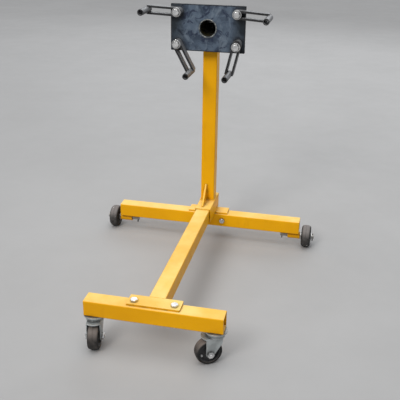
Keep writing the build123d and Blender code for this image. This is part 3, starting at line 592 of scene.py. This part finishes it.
# ---------------------------------------------------------------- welds
def make_frame_welds():
    """The painted fillet welds of the base, the post and the collar."""
    post_low, post_high = corners("post_tube")
    saddle_low, saddle_high = corners("saddle_channel")
    gusset_low, gusset_high = corners("post_gusset")
    angle_low, angle_high = corners("base_angle")
    flange_low, flange_high = corners("flange_plate")
    rear_low, rear_high = corners("rear_cross_tube")
    tube_low, tube_high = corners("centre_tube")
    collar_low, collar_high = corners("collar_sleeve")
    top = saddle_high.z
    half = (post_high.x - post_low.x) / 2
    post_centre = Vector((0, (post_low.y + post_high.y) / 2, top))

    bm = bmesh.new()
    bead(bm, rounded_loop(half + 0.001, half + 0.001, 0.004, post_centre), Z, 0.0033, closed=True)
    for sign, x in ((-1, gusset_low.x), (1, gusset_high.x)):
        ends = (gusset_low.y, post_low.y - 0.004)
        foot = [Vector((x + sign * BEAD_LIFT, y, top + BEAD_LIFT)) for y in ends]
        bead(bm, foot, Z, 0.0024, seed=3 + sign)
        heights = (top + 0.004, gusset_high.z - 0.003)
        rise = [Vector((x + sign * BEAD_LIFT, post_low.y - BEAD_LIFT, z)) for z in heights]
        bead(bm, rise, Y, 0.0024, seed=6 + sign)
    for sign, x in ((-1, saddle_low.x), (1, saddle_high.x)):
        ends = (angle_low.y + 0.001, angle_high.y - 0.002)
        run = [Vector((x + sign * BEAD_LIFT, y, angle_high.z + BEAD_LIFT)) for y in ends]
        bead(bm, run, Z, 0.0028, seed=10 + sign)
        heights = (saddle_low.z + 0.004, saddle_high.z - 0.006)
        butt = [Vector((x - sign * 0.0006, saddle_low.y, z)) for z in heights]
        bead(bm, butt, Y, 0.0018, seed=14 + sign)
    lip = [Vector((x, saddle_low.y, tube_high.z + 0.0005)) for x in (tube_low.x + 0.004, tube_high.x - 0.004)]
    bead(bm, lip, Y, 0.0018, seed=17)
    seam_y = flange_high.y
    seam = [Vector((x, seam_y, flange_high.z - 0.0006)) for x in (tube_low.x + 0.003, tube_high.x - 0.003)]
    bead(bm, seam, Z, 0.0017, seed=19)
    for sign in (-1, 1):
        x, y = sign * (tube_high.x + BEAD_LIFT), seam_y + BEAD_LIFT
        side = [Vector((x, y, z)) for z in (flange_low.z, flange_high.z - 0.001)]
        bead(bm, side, X, 0.0024, seed=21 + sign)
    add_piece("welds_of_the_base", bm, WELD, "frame", 60)

    bm = bmesh.new()
    sleeve_low, sleeve_high = corners("axle_sleeves")
    radius = (sleeve_high.z - sleeve_low.z) / 2
    for end in (-1, 1):
        outer = end * (rear_high.x - 0.003)
        inner = end * (sleeve_high.x - SLEEVE_LENGTH + 0.002)
        for sign in (-1, 1):
            y = (sleeve_low.y + sleeve_high.y) / 2 + sign * radius * 0.42
            run = [Vector((x, y, rear_low.z - 0.0012)) for x in (outer, inner)]
            bead(bm, run, Z, 0.0024, seed=30 + end + sign)
    add_piece("welds_of_the_axle_sleeves", bm, WELD, "frame", 60)

    bm = bmesh.new()
    collar_radius = (collar_high.x - collar_low.x) / 2
    axis_z = (collar_high.z + collar_low.z) / 2
    cope = []
    outline = rounded_loop(half + 0.0006, half + 0.0006, 0.004, Vector((0, post_centre.y, 0)))
    for point in resample(outline, 0.002, True):
        drop = math.sqrt(collar_radius**2 - min(abs(point.x), collar_radius) ** 2)
        cope.append(Vector((point.x, point.y, axis_z - drop - 0.0006)))
    bead(bm, cope, Z, 0.0028, closed=True, seed=40)
    boss_low, boss_high = corners("index_boss")
    boss_radius = (boss_high.x - boss_low.x) / 2
    boss_y = (boss_low.y + boss_high.y) / 2
    ring = []
    for k in range(60):
        turn = 2 * math.pi * k / 60
        x, y = (boss_radius + 0.0006) * math.cos(turn), (boss_radius + 0.0006) * math.sin(turn)
        ring.append(Vector((x, boss_y + y, axis_z + math.sqrt(collar_radius**2 - x * x) + BEAD_LIFT)))
    bead(bm, ring, Z, 0.0021, closed=True, seed=44)
    add_piece("welds_of_the_collar", bm, WELD, "frame", 60)


def make_spatter():
    """Painted-over drops of weld metal near the foot of the post."""
    random.seed(7)
    post_low, post_high = corners("post_tube")
    saddle_low, saddle_high = corners("saddle_channel")
    bm = bmesh.new()
    for _ in range(70):
        on_post = random.random() < 0.4
        size = random.uniform(0.0005, 0.0013)
        if on_post:
            face = random.choice(((0, -1), (1, 0), (-1, 0)))
            slide = random.uniform(-0.02, 0.02)
            middle_y = (post_low.y + post_high.y) / 2
            reach = post_high.x
            x = face[0] * reach + (slide if face[0] == 0 else 0)
            y = middle_y + face[1] * reach + (slide if face[0] else 0)
            place = Vector((x, y, saddle_high.z + random.expovariate(70)))
            out = Vector((face[0], face[1], 0))
        else:
            x = random.uniform(-0.024, 0.024)
            y = random.uniform(saddle_low.y + 0.004, saddle_high.y - 0.004)
            place = Vector((x, y, saddle_high.z))
            out = Z
        drop = bmesh.ops.create_icosphere(bm, subdivisions=1, radius=size)
        flattened = Vector((abs(out.x), abs(out.y), abs(out.z))) * 0.45
        squash = Matrix.Diagonal(Vector((1, 1, 1)) - flattened).to_4x4()
        bmesh.ops.transform(bm, matrix=Matrix.Translation(place) @ squash, verts=drop["verts"])
    add_piece("weld_spatter", bm, WELD, "frame", 80)


def make_head_welds():
    """The ring welds round the pivot tube: a bright one in front of the plate, a dark one behind."""
    plate_low, plate_high = corners("head_plate")
    tube_low, tube_high = corners("pivot_tube")
    radius = (tube_high.x - tube_low.x) / 2
    centre = Vector((0, plate_low.y + 0.0005, PIVOT.z))
    bm = bmesh.new()
    bead(bm, circle(radius - 0.0008, centre, X, Z), Y, 0.0022, closed=True, seed=50)
    add_piece("ring_weld_front", bm, RAW_WELD, "head", 60)
    bm = bmesh.new()
    centre.y = plate_high.y + 0.0006
    bead(bm, circle(radius + 0.0008, centre, X, Z), Y, 0.0030, closed=True, seed=54)
    add_piece("ring_weld_rear", bm, PLATE, "head", 60)


def make_end_cap():
    """A black pressed disc, dished inwards, that closes the rear end of the pivot tube; its black also stands
    in for the shade deep in the bore.
    """
    tube_low, tube_high = corners("pivot_tube")
    outer = (tube_high.x - tube_low.x) / 2 - PIVOT_WALL - 0.0002
    back = tube_high.y - 0.0012
    rear_face = [(0.0, 0.0), (0.0, 0.55), (0.0008, 0.72), (0.0009, 0.9), (0.0, 1)]
    front_face = [(-0.0018, 1), (-0.0022, 0.94), (-0.0012, 0.88)]
    front_face += [(-0.0011, 0.7), (-0.0018, 0.55), (-0.0018, 0.0)]
    profile = [(along, outer * share) for along, share in rear_face + front_face]
    bm = bmesh.new()
    steps = 64
    rings = []
    for step in range(steps):
        turn = 2 * math.pi * step / steps
        ring = []
        for along, radius in profile:
            x, z = radius * math.cos(turn), PIVOT.z + radius * math.sin(turn)
            ring.append(bm.verts.new((x, back + along, z)))
        rings.append(ring)
    for index in range(steps):
        first, second = rings[index], rings[(index + 1) % steps]
        for k in range(len(profile) - 1):
            bm.faces.new((first[k], first[k + 1], second[k + 1], second[k]))
    bmesh.ops.remove_doubles(bm, verts=bm.verts, dist=0.000001)
    bmesh.ops.dissolve_degenerate(bm, dist=0.000001, edges=bm.edges)
    add_piece("pivot_end_cap", bm, PLASTIC, "head")


# ---------------------------------------------------------------- tyres
def rounded_profile(half_width, outer, inner, crown, power, line):
    """A crowned tread, a moulding line round its middle, and side walls with a raised ring."""
    side = []
    steps = 22
    for k in range(steps + 1):
        turn = math.pi / 2 * k / steps
        across = half_width * math.sin(turn) ** power
        radius = outer - crown + crown * math.cos(turn) ** power
        side.append((across, radius))
    side[0] = (0.0004, outer)
    side.insert(1, (0.0009, outer - line))
    wall = outer - crown
    span = wall - inner
    insets = ((0.25, 0.0), (0.35, 0.0009), (0.62, 0.0009), (0.72, 0.0003), (0.92, 0.0003), (1.0, 0.0010))
    for share, inset in insets:
        side.append((half_width - inset, wall - span * share))
    other = [(-across, radius) for across, radius in reversed(side)]
    return side + other


def make_tyres():
    """Moulded tyres in place of the four plain ones."""
    for side in ("left", "right"):
        for kind, axle, crown, power, inner, material in (
            ("rear", AXLE_X, 0.0130, 0.72, 0.02302, REAR_RUBBER[side]),
            ("caster", AXLES[side], 0.0080, 0.60, 0.03002, CASTER_RUBBER[side]),
        ):
            node = f"{kind}_tyre_{side}"
            low, high = corners(node)
            outer = (high.z - low.z) / 2
            half_width = REAR_HALF_WIDTH if kind == "rear" else CASTER_HALF_WIDTH
            bm = bmesh.new()
            profile = rounded_profile(half_width, outer, inner, crown, power, 0.0005)
            lathe(bm, profile, (low + high) / 2, axle, 96)
            name, body = f"{kind}_tyre_moulded_{side}", f"{kind}_wheel_{side}"
            tyre = add_piece(name, bm, material, body, 50)
            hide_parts(node)


# ---------------------------------------------------------------- threads and rivets
def screw_thread(bm, base, out, radius, length, pitch):
    """A coarse thread proud of a bolt's plain end, from the face of its nut outwards."""
    out = Vector(out).normalized()
    across = out.orthogonal().normalized()
    third = out.cross(across)
    sides, rows = 28, max(8, round(length / pitch * 8))
    rings = []
    for row in range(rows + 1):
        along = length * row / rows
        ring = []
        for k in range(sides):
            phase = (along / pitch - k / sides) % 1
            height = 1 - abs(2 * phase - 1)
            fade = min(1.0, (length - along) / (pitch * 0.5))
            size = radius + 0.00003 + 0.0005 * height * fade
            turn = 2 * math.pi * k / sides
            radial = across * math.cos(turn) + third * math.sin(turn)
            ring.append(bm.verts.new(base + out * along + radial * size))
        rings.append(ring)
    join_rings(bm, rings, False)
    bm.faces.new(rings[0])
    bm.faces.new(rings[-1])


def make_threads():
    """Threads on the bolt ends that stand out of their nuts."""
    bm = bmesh.new()
    for node, radius, across, direction, nut in (
        ("flange_bolts", M12_RADIUS, M12_ACROSS_FLATS, -Z, "flange_nuts"),
        ("base_bolts", M10_RADIUS, M10_ACROSS_FLATS, Y, "base_nuts"),
    ):
        low, high = corners(node)
        nut_low, nut_high = corners(nut)
        corner = across / math.sqrt(3)
        for x in (nut_low.x + corner, nut_high.x - corner):
            if direction == Y:
                base = Vector((x, nut_high.y, (low.z + high.z) / 2))
                reach = high.y - nut_high.y
            else:
                base = Vector((x, (low.y + high.y) / 2, nut_low.z))
                reach = nut_low.z - low.z
            screw_thread(bm, base, direction, radius, reach - THREAD_STOP, THREAD_PITCH)
    add_piece("threads_of_the_frame_bolts", bm, BRIGHT, "frame", 70)
    for place in ("upper_left", "upper_right", "lower_left", "lower_right"):
        bolt_low, bolt_high = corners("arm_bolt_" + place)
        _, nut_high = corners("arm_fasteners_" + place)
        centre = (bolt_low + bolt_high) / 2
        base = Vector((centre.x, nut_high.y, centre.z))
        bm = bmesh.new()
        reach = bolt_high.y - nut_high.y
        screw_thread(bm, base, Y, M12_RADIUS, reach - THREAD_STOP, THREAD_PITCH)
        add_piece("thread_of_the_arm_bolt_" + place, bm, BRIGHT, "arm_pivot_" + place, 70)


def make_core_rivets():
    """Two domed rivets through each caster wheel's core."""
    for side, axle in AXLES.items():
        axis = Vector(axle)
        level = Z.cross(axis)
        centre = middle_of("caster_tyre_" + side)
        bm = bmesh.new()
        for place in (level * 0.0232 + Z * 0.008, -level * 0.0232 - Z * 0.008):
            for face in (-1, 1):
                seat = centre + place + axis * face * 0.0088
                dome = [(0.0, 0.0046), (0.0022, 0.0046), (0.0036, 0.0038), (0.0044, 0.0022), (0.0047, 0.0004)]
                profile = [(-0.001, 0.0004), (-0.001, 0.0046), *dome]
                lathe(bm, profile, seat, axis * face, 20)
        add_piece("core_rivets_" + side, bm, BRIGHT, "caster_wheel_" + side)


make_frame_welds()
make_spatter()
make_head_welds()
make_end_cap()
make_tyres()
make_threads()
make_core_rivets()


# ---------------------------------------------------------------- floor and light
def floor_material():
    g = Graph("pale_floor", Specular_IOR_Level=0.3)
    colour = g.mix(g.between(g.noise(1.3, 6.0, 0.65), 0.3, 0.7), (0.375, 0.373, 0.372), (0.40, 0.398, 0.397))
    roughness = g.between(g.noise(7.0, 5.0, 0.6), 0.3, 0.7, 0.62, 0.78)
    return g.finish(colour, roughness, g.bump(g.noise(160.0, 5.0, 0.6), 0.10, 0.0008))


def make_floor():
    mesh = bpy.data.meshes.new("floor")
    half = 30
    around = [(-half, -half, 0), (half, -half, 0), (half, half, 0), (-half, half, 0)]
    mesh.from_pydata(around, [], [(0, 1, 2, 3)])
    mesh.materials.append(floor_material())
    floor = bpy.data.objects.new("floor", mesh)
    scene.collection.objects.link(floor)


def area_light(name, place, target, width, height, power, colour, spread=180):
    data = bpy.data.lights.new(name, "AREA")
    data.spread = math.radians(spread)
    data.shape = "RECTANGLE"
    data.size, data.size_y = width, height
    data.energy = power
    data.color = colour
    lamp = bpy.data.objects.new(name, data)
    scene.collection.objects.link(lamp)
    lamp.location = place
    lamp.rotation_mode = "QUATERNION"
    lamp.rotation_quaternion = (Vector(target) - Vector(place)).to_track_quat("-Z", "Y")
    lamp.visible_camera = False


def make_world():
    world = bpy.data.worlds.new("studio")
    world.use_nodes = True
    world.node_tree.nodes["Background"].inputs["Color"].default_value = (0.93, 0.96, 1.0, 1)
    world.node_tree.nodes["Background"].inputs["Strength"].default_value = 0.34
    scene.world = world


def sun(power, spread, direction):
    data = bpy.data.lights.new("soft_daylight", "SUN")
    data.energy = power
    data.angle = math.radians(spread)
    lamp = bpy.data.objects.new("soft_daylight", data)
    scene.collection.objects.link(lamp)
    lamp.rotation_mode = "QUATERNION"
    lamp.rotation_quaternion = Vector(direction).to_track_quat("-Z", "Y")


make_floor()
make_world()
sun(1.85, 70, (0.12, 0.16, -1.0))
area_light("front_left", (-1.1, -2.7, 2.8), (0.0, 0.3, 0.95), 1.2, 1.2, 13, (1.0, 0.98, 0.95), 75)
area_light("behind", (0.2, 4.6, 3.0), (0.0, 0.0, 0.2), 5.0, 2.6, 70, (0.96, 0.98, 1.0))
